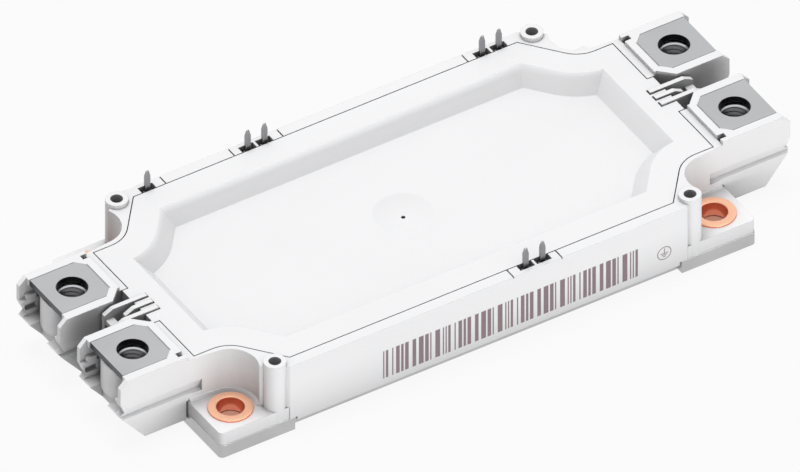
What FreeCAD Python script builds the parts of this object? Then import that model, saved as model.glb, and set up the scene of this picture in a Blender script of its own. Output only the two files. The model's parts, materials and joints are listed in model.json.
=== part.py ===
import FreeCAD, Part
import math
import os

import Sketcher

# Half-bridge power module: base plate, one-piece housing, lid, straps, pins and the parts inside.
# Origin: middle of the base plate's underside. +X runs along the long rails, +Y across, +Z up.
# All sizes are in millimetres, angles in degrees.

SIZES = {
    # base plate
    "plate_length": 122.0,
    "plate_width": 62.0,
    "plate_thickness": 3.0,
    "plate_corner_radius": 1.0,
    "waist_width": 58.8,
    "waist_length": 88.0,
    "mount_spacing_x": 110.0,
    "mount_spacing_y": 50.0,
    "mount_bore": 5.5,
    # mounting sleeves
    "sleeve_diameter": 8.9,
    "sleeve_proud": 0.5,
    # housing frame
    "pad_height": 3.0,
    "pad_setback": 0.15,
    "frame_top": 16.1,
    "face_length": 90.4,
    "recess_radius": 5.6,
    "recess_flank": 0.5,
    "recess_bevel": 0.6,
    "end_wall": 60.6,
    "skirt_length": 87.0,
    "skirt_bottom": 2.2,
    "skirt_gap": 0.1,
    "floor_length": 100.6,
    "floor_width": 46.4,
    "cavity_length": 114.4,
    "cavity_width": 53.4,
    "cavity_scoop": 7.9,
    "ledge_height": 6.5,
    "shoulder_angle": 38.9,
    "glue_offset": 0.5,
    "glue_width": 1.2,
    "glue_depth": 0.4,
    # board domes
    "dome_spacing_x": 94.5,
    "dome_spacing_y": 57.5,
    "dome_diameter": 4.5,
    "dome_bore": 2.5,
    "dome_bore_depth": 8.5,
    "dome_top": 17.0,
    # lid
    "lid_length": 118.0,
    "lid_width": 56.6,
    "lid_flank": 36.4,
    "lid_thickness": 1.5,
    "lid_gap": 0.2,
    "tray_rim": 5.5,
    "tray_depth": 3.4,
    "tray_slope": 3.1,
    "dimple_diameter": 12.0,
    "dimple_depth": 1.0,
    "boss_drop": 0.8,
    "vent_bore": 0.85,
    "tongue_width": 11.3,
    "tongue_end": 60.4,
    # rib barriers
    "rib_thickness": 1.0,
    "rib_pitch": 2.1,
    "rib_start": 57.25,
    "rib_end": 67.0,
    "rib_middle_end": 63.5,
    "rib_top": 16.4,
    "rib_bottom": 8.0,
    "rib_slot_gap": 0.25,
    "bridge_start": 65.0,
    "bridge_end": 66.8,
    "bridge_top": 14.4,
    "bridge_thickness": 1.0,
    # terminal boxes
    "box_centre": 11.0,
    "box_width": 15.8,
    "box_top": 17.0,
    "box_step": 60.9,
    "box_end": 76.2,
    "box_chamfer": 1.6,
    "box_brow": 11.6,
    "groove_height": 9.0,
    "groove_depth": 1.1,
    "nose_height": 8.3,
    "side_groove_depth": 0.7,
    "side_groove_top": 10.3,
    "side_groove_floor": 8.1,
    "side_groove_bottom": 7.7,
    "toe": 70.6,
    "box_bottom": 1.5,
    "corner_cut": 2.8,
    "box_skin": 1.0,
    "box_wall": 2.0,
    "chamber_start": 69.0,
    "chamber_floor": 8.4,
    "lug_start": 72.9,
    "lug_end": 75.1,
    "lug_bottom": 12.1,
    "lug_top": 13.2,
    "slot_bottom": 9.7,
    "slot_top": 11.2,
    "slot_end": 75.6,
    "slot_depth": 1.2,
    "holder_radius": 6.2,
    "mouth_width": 6.2,
    "mouth_start": 73.4,
    "sump_bore": 6.6,
    "sump_floor": 4.0,
    "peephole_length": 1.5,
    "peephole_width": 1.2,
    "peephole_depth": 1.6,
    # power terminals
    "strap_thickness": 1.5,
    "strap_width": 11.8,
    "strap_end": 74.4,
    "strap_start": 62.7,
    "strap_chamfer": 1.7,
    "strap_gap": 0.1,
    "strap_bend": 0.3,
    "strap_foot_end": 51.6,
    "screw_x": 68.5,
    "screw_clearance": 6.2,
    "screw_chamfer": 0.15,
    # nuts
    "nut_flats": 10.0,
    "nut_height": 5.0,
    "nut_drop": 0.5,
    "nut_gap": 0.1,
    "nut_thread_bore": 5.0,
    "nut_chamfer": 0.3,
    # auxiliary pins
    "pin_row": 29.21,
    "pin_pitch": 3.81,
    "pin_width": 1.15,
    "pin_thickness": 0.65,
    "pin_top": 20.5,
    "pin_taper_height": 1.3,
    "pin_taper": 0.25,
    "pin_foot_inset": 24.4,
    "pin_shoulder_width": 1.9,
    "pin_shoulder_top": 15.4,
    "pin_slot_length": 3.3,
    "pin_slot_outer": 30.1,
    "pin_slot_bottom": 13.8,
    "notch_width": 0.3,
    "notch_depth": 0.35,
    # substrates
    "tile_length": 30.6,
    "tile_width": 42.0,
    "tile_gap": 1.2,
    "tile_rim": 0.8,
    "solder_thickness": 0.15,
    "copper_thickness": 0.3,
    "ceramic_thickness": 0.38,
    "track_gap": 0.8,
    "upper_track": 15.3,
    "middle_track": 12.6,
    "lower_track": 4.8,
    "control_track": 1.1,
    # chips
    "chip_thickness": 0.35,
    "igbt_length": 7.8,
    "igbt_width": 11.0,
    "diode_length": 4.4,
    "diode_width": 8.6,
    "chip_gap": 0.7,
    "sensor_length": 1.6,
    "sensor_width": 0.8,
    # bond wires
    "wire_thickness": 0.35,
    "wire_rise": 1.2,
    "wire_pitch": 2.2,
    "wire_foot": 0.8,
    "wire_inset": 0.2,
    "wire_shift": 0.35,
    "wire_step": 0.7,
    "wire_spread": 4.0,
    "phase_link_width": 3.0,
    "gel_level": 10.0,
}

document = FreeCAD.newDocument("PowerModule")
sheet = document.addObject("Spreadsheet::Sheet", "Sizes")
for row, (alias, number) in enumerate(SIZES.items(), start=1):
    sheet.set(f"A{row}", alias)
    sheet.set(f"B{row}", str(number))
    sheet.setAlias(f"B{row}", alias)
document.recompute()


class Measure:
    """A size with its number and the sheet expression that drives it."""

    def __init__(self, text, number):
        self.text = text
        self.number = number

    def _join(self, sign, other, number, swap=False):
        other_text = other.text if isinstance(other, Measure) else repr(float(other))
        left, right = (other_text, self.text) if swap else (self.text, other_text)
        return Measure(f"({left} {sign} {right})", number)

    def __add__(self, other):
        return self._join("+", other, self.number + plain(other))

    def __radd__(self, other):
        return self._join("+", other, plain(other) + self.number, swap=True)

    def __sub__(self, other):
        return self._join("-", other, self.number - plain(other))

    def __rsub__(self, other):
        return self._join("-", other, plain(other) - self.number, swap=True)

    def __mul__(self, other):
        return self._join("*", other, self.number * plain(other))

    def __rmul__(self, other):
        return self._join("*", other, plain(other) * self.number, swap=True)

    def __truediv__(self, other):
        return self._join("/", other, self.number / plain(other))

    def __neg__(self):
        return Measure(f"(-1 * {self.text})", -self.number)


class SheetSizes:
    """Reads each size of the sheet by its alias."""

    def __getattr__(self, name):
        return Measure(f"Sizes.{name}", float(sheet.get(name)))


def plain(size):
    """The bare number of a size."""
    return size.number if isinstance(size, Measure) else float(size)


def root(size):
    """Square root of a size."""
    return Measure(f"sqrt({size.text})", math.sqrt(size.number))


def cosine(angle):
    """Cosine of an angle in degrees."""
    return Measure(f"cos({angle.text})", math.cos(math.radians(angle.number)))


def sine(angle):
    """Sine of an angle in degrees."""
    return Measure(f"sin({angle.text})", math.sin(math.radians(angle.number)))


S = SheetSizes()
ZERO = Measure("0", 0.0)

# derived levels and places
mount_x = S.mount_spacing_x / 2
mount_y = S.mount_spacing_y / 2
dome_x = S.dome_spacing_x / 2
dome_y = S.dome_spacing_y / 2
pad_top = S.plate_thickness + S.pad_height
seat_level = S.frame_top - S.lid_thickness
box_inner = S.box_centre - S.box_width / 2
box_outer = S.box_centre + S.box_width / 2
groove_start = mount_x + S.recess_radius / 2
strap_bottom = S.box_top - S.strap_thickness
strap_neck = S.strap_width / 2 - S.strap_chamfer
strap_foot_top = S.ledge_height + S.strap_thickness
pin_foot_top = S.ledge_height + S.pin_thickness
nut_top = strap_bottom - S.nut_drop
nut_bottom = nut_top - S.nut_height
half_tongue = S.tongue_width / 2
lid_scoop = mount_y - S.lid_flank / 2
copper_floor = S.plate_thickness + S.solder_thickness
ceramic_floor = copper_floor + S.copper_thickness
circuit_floor = ceramic_floor + S.ceramic_thickness
chip_floor = circuit_floor + S.copper_thickness
wire_floor = chip_floor + S.chip_thickness

# places on one tile: edges of its tracks, middle lines of its chips
tile_pitch = S.tile_length + S.tile_gap
half_tile = S.tile_width / 2 - S.tile_rim
half_track = S.tile_length / 2 - S.tile_rim
outer_band = half_tile - S.control_track
inner_band = outer_band - S.track_gap - S.control_track
upper_low = inner_band - S.track_gap - S.upper_track
middle_high = upper_low - S.track_gap
middle_low = middle_high - S.middle_track
lower_high = middle_low - S.track_gap
upper_row = upper_low + S.upper_track / 2 + S.chip_gap
lower_row = middle_high - S.middle_track / 2 - S.chip_gap
diode_x = (S.chip_gap + S.diode_length) / 2
igbt_x = S.chip_gap / 2 + S.diode_length + S.chip_gap + S.igbt_length / 2

# ends along X: +1 is the right end, -1 the left end
ENDS = (1, -1)
# quadrants: the end along X, then the side across Y, +1 for the back rail and -1 for the front rail
QUADRANTS = ((1, 1), (1, -1), (-1, 1), (-1, -1))

# auxiliary pins: name, side, and place along the rail in pin pitches
PINS = (
    ("high_side_gate_pin", 1, -3.5),
    ("high_side_emitter_pin", 1, -4.5),
    ("low_side_gate_pin", -1, 2.5),
    ("low_side_emitter_pin", -1, 3.5),
    ("collector_sense_pin", 1, -10.5),
    ("thermistor_pin_a", 1, 9.5),
    ("thermistor_pin_b", 1, 10.5),
)
# notches in the rails: side, and place in pin pitches
NOTCHES = ((-1, 1.5), (-1, 4.4), (1, -2.5), (1, -5.4), (1, -9.5), (1, 8.55))
# straps: name, end and side
TERMINALS = (
    ("power_terminal_plus", -1, 1),
    ("power_terminal_minus", -1, -1),
    ("power_terminal_phase_back", 1, 1),
    ("power_terminal_phase_front", 1, -1),
)
# substrate tiles: name, and place along the module in tile pitches
TILES = (("left", -1), ("middle", 0), ("right", 1))


def new_body(label):
    """An empty body whose label names its file."""
    body = document.addObject("PartDesign::Body", f"body_{label}")
    body.Label = label
    return body


def new_sketch(body, plane, offset=ZERO):
    """A sketch on one of the body's own origin planes, moved along the plane's normal."""
    sketch = body.newObject("Sketcher::SketchObject", f"sketch_{body.Label}")
    support = next(item for item in body.Origin.OriginFeatures if item.Role == plane)
    sketch.AttachmentSupport = [(support, "")]
    sketch.MapMode = "FlatFace"
    sketch.setExpression("AttachmentOffset.Base.z", offset.text)
    return sketch


def arc_between(start, finish, radius, turn):
    """The shorter arc from start to finish that turns left or right."""
    chord = finish - start
    half = chord.Length / 2
    height = math.sqrt(max(radius ** 2 - half ** 2, 0.0))
    normal = FreeCAD.Vector(-chord.y, chord.x, 0).normalize()
    sign = 1 if turn == "left" else -1
    centre = start + chord / 2 + normal * height * sign
    first, last = (start, finish) if turn == "left" else (finish, start)
    angle_first = math.atan2(first.y - centre.y, first.x - centre.x)
    angle_last = math.atan2(last.y - centre.y, last.x - centre.x)
    circle = Part.Circle(centre, FreeCAD.Vector(0, 0, 1), radius)
    return Part.ArcOfCircle(circle, angle_first, angle_last)


def loop_edges(sketch, corners, bound):
    """Adds one closed loop and lists its constraints, each with the expression that drives it.

    A corner is (x, y), or (x, y, radius, turn) where an arc leaves it.
    """
    points = [FreeCAD.Vector(plain(corner[0]), plain(corner[1]), 0) for corner in corners]
    edges = []
    for index, corner in enumerate(corners):
        start, finish = points[index], points[(index + 1) % len(corners)]
        if len(corner) == 2:
            edges.append((sketch.addGeometry(Part.LineSegment(start, finish)), 1, 2))
            continue
        geometry = sketch.addGeometry(arc_between(start, finish, plain(corner[2]), corner[3]))
        edges.append((geometry, 1, 2) if corner[3] == "left" else (geometry, 2, 1))
        bound.append((Sketcher.Constraint("Radius", geometry, plain(corner[2])), corner[2]))
    for index, corner in enumerate(corners):
        geometry, start_point, end_point = edges[index]
        following, next_point, _ = edges[(index + 1) % len(corners)]
        joint = Sketcher.Constraint("Coincident", geometry, end_point, following, next_point)
        bound.append((joint, None))
        for kind, place in (("DistanceX", corner[0]), ("DistanceY", corner[1])):
            constraint = Sketcher.Constraint(kind, -1, 1, geometry, start_point, plain(place))
            bound.append((constraint, place))


def circle_edge(sketch, x, y, diameter, bound):
    """Adds one circle and lists its constraints."""
    centre = FreeCAD.Vector(plain(x), plain(y), 0)
    circle = Part.Circle(centre, FreeCAD.Vector(0, 0, 1), plain(diameter) / 2)
    geometry = sketch.addGeometry(circle)
    for kind, place in (("DistanceX", x), ("DistanceY", y)):
        bound.append((Sketcher.Constraint(kind, -1, 1, geometry, 3, plain(place)), place))
    bound.append((Sketcher.Constraint("Diameter", geometry, plain(diameter)), diameter))


def draw(sketch, loops, circles=()):
    """Draws closed loops and circles, and binds every one of their sizes to the sheet."""
    bound = []
    for corners in loops:
        loop_edges(sketch, corners, bound)
    for x, y, diameter in circles:
        circle_edge(sketch, x, y, diameter, bound)
    sketch.addConstraint([constraint for constraint, _ in bound])
    for index, (_, size) in enumerate(bound):
        if size is not None:
            sketch.setExpression(f"Constraints[{index}]", size.text)
    sketch.Visibility = False


def mirrored(corners, end, side=1):
    """The same corners in another quadrant: x times end, y times side."""
    flip = {"left": "right", "right": "left"} if end * side < 0 else {"left": "left", "right": "right"}
    copies = []
    for corner in corners:
        place = (corner[0] * end, corner[1] * side)
        copies.append(place + ((corner[2], flip[corner[3]]) if len(corner) == 4 else ()))
    return copies


def four_fold(corners):
    """A closed outline from the corners of the back right quadrant, read clockwise."""
    outline = []
    for end, side in ((1, 1), (1, -1), (-1, -1), (-1, 1)):
        if end * side > 0:
            outline += [(corner[0] * end, corner[1] * side) + corner[2:] for corner in corners]
            continue
        for index in reversed(range(len(corners))):
            arc = corners[index - 1][2:] if index else ()
            outline.append((corners[index][0] * end, corners[index][1] * side) + arc)
    return outline


def rectangle(low_x, low_y, high_x, high_y):
    """Corners of a rectangle."""
    return [(low_x, low_y), (high_x, low_y), (high_x, high_y), (low_x, high_y)]


def scooped_corners(end, side, scoop):
    """Back right corner of a rectangle, scooped about the mounting hole.

    From the arc a straight shoulder leaves on a tangent at the shoulder angle to the long side.
    Where the end lies past the hole, a straight flank joins it to the arc.
    """
    across_arc = cosine(S.shoulder_angle)
    along_arc = sine(S.shoulder_angle)
    shoulder = (mount_x - (scoop + (side - mount_y) * along_arc) / across_arc, side)
    tangent = (mount_x - scoop * across_arc, mount_y - scoop * along_arc, scoop, "left")
    if plain(end) > plain(mount_x):
        return [shoulder, tangent, (mount_x, mount_y - scoop), (end, mount_y - scoop)]
    reach = mount_x - end
    return [shoulder, tangent, (end, mount_y - root(scoop * scoop - reach * reach))]


def scooped_outline(end, side, scoop):
    """Rectangle with all four corners scooped about the mounting holes."""
    return four_fold(scooped_corners(end, side, scoop))


def quarter(corners):
    """The quarter of an outline that lies in the back right quadrant."""
    return [(ZERO, corners[0][1])] + corners + [(corners[-1][0], ZERO), (ZERO, ZERO)]


def extrude(kind, body, sketch, length, backwards=False):
    """A pad or pocket of a sketch."""
    feature = body.newObject(f"PartDesign::{kind}", f"{kind}_{body.Label}")
    feature.Profile = sketch
    feature.setExpression("Length", length.text)
    feature.Reversed = backwards
    return feature


def pad(body, sketch, length, backwards=False):
    """Adds a prism on the sketch, along the plane's normal."""
    return extrude("Pad", body, sketch, length, backwards)


def pocket(body, sketch, length, backwards=False):
    """Cuts a prism from the sketch, against the plane's normal."""
    return extrude("Pocket", body, sketch, length, backwards)


def block(body, bottom, top, loops, circles=()):
    """Adds upright prisms between two levels."""
    sketch = new_sketch(body, "XY_Plane", bottom)
    draw(sketch, loops, circles)
    return pad(body, sketch, top - bottom)


def cut(body, bottom, top, loops, circles=()):
    """Cuts upright prisms between two levels."""
    sketch = new_sketch(body, "XY_Plane", top)
    draw(sketch, loops, circles)
    return pocket(body, sketch, top - bottom)


def side_prism(kind, body, low_y, high_y, loops):
    """A prism along Y whose profile is drawn in X and Z."""
    sketch = new_sketch(body, "XZ_Plane", -low_y if kind == "Pocket" else -high_y)
    draw(sketch, loops)
    return extrude(kind, body, sketch, high_y - low_y)


def circular_edges(feature, radius, level):
    """Names of the horizontal circular edges of a radius at a level."""
    names = []
    for index, edge in enumerate(feature.Shape.Edges, start=1):
        is_circle = isinstance(edge.Curve, Part.Circle)
        if is_circle and abs(edge.Curve.Radius - plain(radius)) < 1e-4:
            if abs(edge.BoundBox.ZMin - plain(level)) < 1e-4 and edge.BoundBox.ZLength < 1e-4:
                names.append(f"Edge{index}")
    return names


def bevel(body, feature, edges, size):
    """Chamfers named edges of the feature before it."""
    chamfer = body.newObject("PartDesign::Chamfer", f"Chamfer_{body.Label}")
    chamfer.Base = (feature, edges)
    chamfer.setExpression("Size", size.text)
    body.Tip = chamfer
    return chamfer


def four_places(x, y, diameter):
    """The same circle in all four quadrants."""
    return [(x * end, y * side, diameter) for end, side in QUADRANTS]


def rounded_corners(half_x, half_y, radius):
    """Corners of the back right quadrant of a rectangle with rounded corners."""
    return [(half_x - radius, half_y, radius, "right"), (half_x, half_y - radius)]


def build_base_plate():
    """Flat plate with a narrower waist between its four ears."""
    body = new_body("base_plate")
    half_x, half_y = S.plate_length / 2, S.plate_width / 2
    waist_x, waist_y = S.waist_length / 2, S.waist_width / 2
    outline = four_fold(
        [(waist_x, waist_y), (waist_x, half_y)] + rounded_corners(half_x, half_y, S.plate_corner_radius)
    )
    holes = four_places(mount_x, mount_y, S.mount_bore)
    block(body, ZERO, S.plate_thickness, [outline], holes)
    return body


def build_sleeves():
    """Pressed copper tubes through the four screw pads."""
    sleeves = []
    for end, side in QUADRANTS:
        where = f"{'back' if side > 0 else 'front'}_{'right' if end > 0 else 'left'}"
        body = new_body(f"mounting_sleeve_{where}")
        centre = (mount_x * end, mount_y * side)
        wall = [centre + (S.sleeve_diameter,), centre + (S.mount_bore,)]
        block(body, S.plate_thickness, pad_top + S.sleeve_proud, [], wall)
        sleeves.append(body)
    return sleeves


def box_profile():
    """Side view of a terminal box, with the creepage groove round its outer end."""
    return [
        (groove_start, pad_top),
        (groove_start, S.frame_top),
        (S.box_step, S.frame_top),
        (S.box_step, S.box_top),
        (S.box_end - S.box_chamfer, S.box_top),
        (S.box_end, S.box_top - S.box_chamfer),
        (S.box_end, S.box_brow),
        (S.box_end - S.groove_depth, S.groove_height),
        (S.box_end, S.nose_height),
        (S.toe, S.box_bottom),
        (S.plate_length / 2 + S.lid_gap, S.box_bottom),
        (S.plate_length / 2 + S.lid_gap, pad_top),
    ]


def add_frame_wall(body):
    """Ring wall on the base plate, with screw pad, skirt and the scooped corner for the screw."""
    half_x = S.plate_length / 2 - S.skirt_gap
    half_y = S.plate_width / 2
    pad_corners = rounded_corners(half_x, half_y - S.pad_setback, S.plate_corner_radius)
    block(body, S.plate_thickness, pad_top, [quarter(pad_corners)])
    lean_x, lean_y = mount_x - dome_x, dome_y - mount_y
    lean = root(lean_x * lean_x + lean_y * lean_y)
    wall_corners = [
        (S.face_length / 2, half_y),
        (mount_x - S.recess_radius * lean_x / lean, mount_y + S.recess_radius * lean_y / lean,
         S.recess_radius, "left"),
        (mount_x, mount_y - S.recess_radius),
        (S.end_wall, box_outer),
    ]
    wall = block(body, pad_top, S.frame_top, [quarter(wall_corners)])
    document.recompute()
    bevel(body, wall, circular_edges(wall, S.recess_radius, pad_top), S.recess_bevel)
    skirt_inside = S.waist_width / 2 + S.skirt_gap
    upper_skirt = rectangle(ZERO, skirt_inside, S.face_length / 2, half_y)
    lower_skirt = rectangle(ZERO, skirt_inside, S.skirt_length / 2, half_y)
    block(body, S.plate_thickness, pad_top, [upper_skirt])
    block(body, S.skirt_bottom, S.plate_thickness, [lower_skirt])
    block(body, S.plate_thickness, S.dome_top, [], [(dome_x, dome_y, S.dome_diameter)])


def add_terminal_box(body):
    """The box that carries a strap and its nut, with V grooves along both sides."""
    side_prism("Pad", body, box_inner, box_outer, [box_profile()])
    start = S.box_step - S.recess_flank
    corner = [
        (start, box_inner),
        (start, box_inner + S.corner_cut),
        (S.box_step + S.recess_flank, box_inner + S.corner_cut),
        (S.box_step + S.recess_flank + S.corner_cut, box_inner),
    ]
    cut(body, S.box_brow, S.box_top, [corner])
    for face, inward, start in ((box_outer, -1, groove_start), (box_inner, 1, S.end_wall)):
        outside = face - S.side_groove_depth * inward
        wedge = [
            (outside, S.side_groove_bottom),
            (face, S.side_groove_bottom),
            (face + S.side_groove_depth * inward, S.side_groove_floor),
            (face, S.side_groove_top),
            (outside, S.side_groove_top),
        ]
        sketch = new_sketch(body, "YZ_Plane", start)
        draw(sketch, [wedge])
        pocket(body, sketch, S.box_end - start, backwards=True)


def add_cavities(body):
    """Room for the substrates below, the wires above and the lid's seat on top."""
    floor = scooped_corners(S.floor_length / 2, S.floor_width / 2, S.cavity_scoop)
    cut(body, S.plate_thickness, S.ledge_height, [quarter(floor)])
    room = scooped_corners(S.cavity_length / 2, S.cavity_width / 2, S.cavity_scoop)
    cut(body, S.ledge_height, seat_level, [quarter(room)])
    seat = scooped_corners(S.lid_length / 2 + S.lid_gap, S.lid_width / 2 + S.lid_gap, lid_scoop - S.lid_gap)
    cut(body, seat_level, S.box_top, [quarter(seat)])
    cut(body, seat_level, S.box_top, [rectangle(ZERO, ZERO, S.box_step, half_tongue + S.lid_gap)])


def add_barrier(body):
    """The ribs between the boxes, which stand in the lid's slots, and the bridge that joins them."""
    slope = S.rib_end - S.bridge_start
    wall_inside = S.end_wall - S.recess_flank
    half = S.rib_thickness / 2
    ribs = ((S.rib_middle_end, ZERO, half), (S.rib_end, S.rib_pitch - half, S.rib_pitch + half))
    for rib_end, low, high in ribs:
        rib = [
            (S.rib_start, seat_level),
            (S.rib_start, S.rib_top),
            (rib_end - slope, S.rib_top),
            (rib_end, S.rib_top - slope / 2),
            (rib_end, S.rib_bottom),
            (wall_inside, S.rib_bottom),
            (wall_inside, seat_level),
        ]
        side_prism("Pad", body, low, high, [rib])
    bridge = rectangle(S.bridge_start, ZERO, S.bridge_end, box_inner)
    block(body, S.bridge_top - S.bridge_thickness, S.bridge_top, [bridge])


def across(low_x, high_x, half_width):
    """A rectangle centred on the box's middle line."""
    return [rectangle(low_x, S.box_centre - half_width, high_x, S.box_centre + half_width)]


def beside(low_x, high_x, low, high):
    """A pair of rectangles, one on each side of the box's middle line."""
    return [
        rectangle(low_x, S.box_centre + low, high_x, S.box_centre + high),
        rectangle(low_x, S.box_centre - high, high_x, S.box_centre - low),
    ]


def add_box_chamber(body):
    """Hollow outer end of the box, with the strap's guides, the round nut holder, lugs and slots."""
    outside = S.box_end + S.groove_depth
    skin = S.box_width / 2 - S.box_skin
    inner = S.box_width / 2 - S.box_wall
    guide = S.strap_width / 2 + S.strap_gap
    cut(body, strap_bottom, S.box_top, across(S.strap_start + S.strap_chamfer, outside, guide))
    chamfer_start = S.box_end - S.box_chamfer
    cut(body, S.box_top - S.box_chamfer, S.box_top, across(chamfer_start, outside, skin))
    cut(body, S.lug_bottom, strap_bottom, across(S.chamber_start, outside, skin))
    cut(body, S.chamber_floor, S.lug_bottom, across(S.chamber_start, outside, inner))
    block(body, S.lug_bottom, S.lug_top, beside(S.lug_start, S.lug_end, inner, skin))
    cut(body, S.slot_bottom, S.slot_top, beside(S.lug_start, S.slot_end, inner, inner + S.slot_depth))
    block(body, S.chamber_floor, strap_bottom, [], [(S.screw_x, S.box_centre, S.holder_radius * 2)])
    cut(body, ZERO, S.chamber_floor, across(S.mouth_start, outside, S.mouth_width / 2))


def hexagon(x, y, flats):
    """Corners of a hexagon with two flats square to X."""
    half = flats / 2
    edge = flats / root(Measure("12", 12.0))
    corner = flats / root(Measure("3", 3.0))
    return [
        (x + half, y - edge), (x + half, y + edge), (x, y + corner),
        (x - half, y + edge), (x - half, y - edge), (x, y - corner),
    ]


def add_holes(body):
    """Nut pocket with the screw's sump, sleeve hole, dome bore and the peephole beside the strap."""
    nut_pocket = hexagon(S.screw_x, S.box_centre, S.nut_flats + S.nut_gap * 2)
    cut(body, nut_bottom, strap_bottom, [nut_pocket])
    cut(body, S.sump_floor, nut_bottom, [], [(S.screw_x, S.box_centre, S.sump_bore)])
    cut(body, S.plate_thickness, pad_top, [], [(mount_x, mount_y, S.sleeve_diameter)])
    cut(body, S.dome_top - S.dome_bore_depth, S.dome_top, [], [(dome_x, dome_y, S.dome_bore)])
    peephole_y = box_outer - S.box_skin - S.peephole_width
    peephole = rectangle(
        S.box_step, peephole_y, S.box_step + S.peephole_length, peephole_y + S.peephole_width
    )
    cut(body, S.box_top - S.peephole_depth, S.box_top, [peephole])


def build_rail_cuts():
    """The open slots round the pins and the shallow notches that mark the pin groups."""
    body = new_body("rail_cuts")
    slots = []
    notches = []
    for _, side, place in PINS:
        middle = S.pin_pitch * place
        half = S.pin_slot_length / 2
        slot = rectangle(middle - half, S.lid_width / 2, middle + half, S.pin_slot_outer)
        slots.append(mirrored(slot, 1, side))
    for side, place in NOTCHES:
        middle = S.pin_pitch * place
        half = S.notch_width / 2
        outside = S.plate_width / 2 + S.notch_width
        notch = rectangle(middle - half, S.lid_width / 2, middle + half, outside)
        notches.append(mirrored(notch, 1, side))
    block(body, S.pin_slot_bottom, S.frame_top + S.notch_depth, slots)
    block(body, S.frame_top - S.notch_depth, S.frame_top + S.notch_depth, notches)
    return body


def joined(label, shapes):
    """Fusion of several shapes."""
    fusion = document.addObject("Part::MultiFuse", label)
    fusion.Shapes = shapes
    fusion.Refine = True
    fusion.Label = label
    return fusion


def with_mirror(shape, normal, label):
    """A shape joined with its mirror image in a plane through the origin."""
    image = document.addObject("Part::Mirroring", f"{label}_image")
    image.Source = shape
    image.Normal = normal
    return joined(label, [shape, image])


def cut_away(label, shape, tool):
    """A shape less another."""
    rest = document.addObject("Part::Cut", label)
    rest.Base = shape
    rest.Tool = tool
    rest.Label = label
    return rest


def build_housing(strap, inserts):
    """The whole moulding: a quarter with its strap moulded in, mirrored twice, less what the pins need."""
    body = new_body("housing_quarter")
    add_frame_wall(body)
    add_terminal_box(body)
    add_cavities(body)
    add_barrier(body)
    add_box_chamber(body)
    add_holes(body)
    hollow_quarter = cut_away("hollow_quarter", body, strap)
    half = with_mirror(hollow_quarter, FreeCAD.Vector(0, 1, 0), "housing_half")
    whole = with_mirror(half, FreeCAD.Vector(1, 0, 0), "housing_whole")
    return cut_away("housing", whole, joined("housing_inserts", inserts))


def build_glue():
    """The bead of adhesive in the groove under the frame."""
    body = new_body("sealing_adhesive")
    loops = []
    for offset in (S.glue_offset + S.glue_width, S.glue_offset):
        loops.append(scooped_outline(
            S.floor_length / 2 + offset, S.floor_width / 2 + offset, S.cavity_scoop - offset
        ))
    block(body, S.plate_thickness, S.plate_thickness + S.glue_depth, loops)
    return body


def loft(kind, body, lower, upper):
    """A straight-sided loft between two outlines given as (level, corners)."""
    sketches = []
    for level, corners in (lower, upper):
        sketch = new_sketch(body, "XY_Plane", level)
        draw(sketch, [corners])
        sketches.append(sketch)
    feature = body.newObject(f"PartDesign::{kind}", f"{kind}_{body.Label}")
    feature.Profile = sketches[0]
    feature.Sections = [sketches[1]]
    feature.Ruled = True
    return feature


def tray_outline(inset):
    """Outline of the sunk tray, set in from the lid's edge."""
    return scooped_outline(S.lid_length / 2 - inset, S.lid_width / 2 - inset, lid_scoop + inset)


def build_lid():
    """Flat rim with a sunk tray, a round dimple and the slotted tongues."""
    body = new_body("lid")
    floor_top = S.frame_top - S.tray_depth
    floor_bottom = floor_top - S.lid_thickness
    rim = scooped_outline(S.lid_length / 2, S.lid_width / 2, lid_scoop)
    block(body, seat_level, S.frame_top, [rim])
    tongue_root = S.lid_length / 2 - S.tray_rim / 2
    tongue = rectangle(tongue_root, -half_tongue, S.tongue_end, half_tongue)
    block(body, seat_level, S.frame_top, [mirrored(tongue, end) for end in ENDS])
    shell = S.lid_thickness / 2
    loft("AdditiveLoft", body,
         (floor_bottom, tray_outline(S.tray_rim + S.tray_slope - shell)),
         (seat_level, tray_outline(S.tray_rim - shell)))
    boss_bottom = floor_bottom - S.boss_drop
    block(body, boss_bottom, floor_bottom, [], [(ZERO, ZERO, S.dimple_diameter + S.lid_thickness)])
    loft("SubtractiveLoft", body,
         (floor_top, tray_outline(S.tray_rim + S.tray_slope)),
         (S.frame_top, tray_outline(S.tray_rim)))
    half = S.dimple_diameter / 2
    bowl_radius = (half * half + S.dimple_depth * S.dimple_depth) / (S.dimple_depth * 2)
    bowl = [
        (ZERO, floor_top - S.dimple_depth, bowl_radius, "left"),
        (half, floor_top),
        (ZERO, floor_top),
    ]
    dimple = new_sketch(body, "XZ_Plane")
    draw(dimple, [bowl])
    groove = body.newObject("PartDesign::Groove", "dimple")
    groove.Profile = dimple
    groove.ReferenceAxis = (dimple, ["V_Axis"])
    groove.Angle = 360
    cut(body, boss_bottom, floor_top, [], [(ZERO, ZERO, S.vent_bore)])
    slots = []
    half_slot = S.rib_thickness / 2 + S.rib_slot_gap
    for end in ENDS:
        for index in (-1, 0, 1):
            middle = S.rib_pitch * index
            slot = rectangle(
                S.rib_start - S.rib_slot_gap, middle - half_slot,
                S.tongue_end + S.rib_slot_gap, middle + half_slot,
            )
            slots.append(mirrored(slot, end))
    cut(body, seat_level, S.frame_top, slots)
    return body


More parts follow.
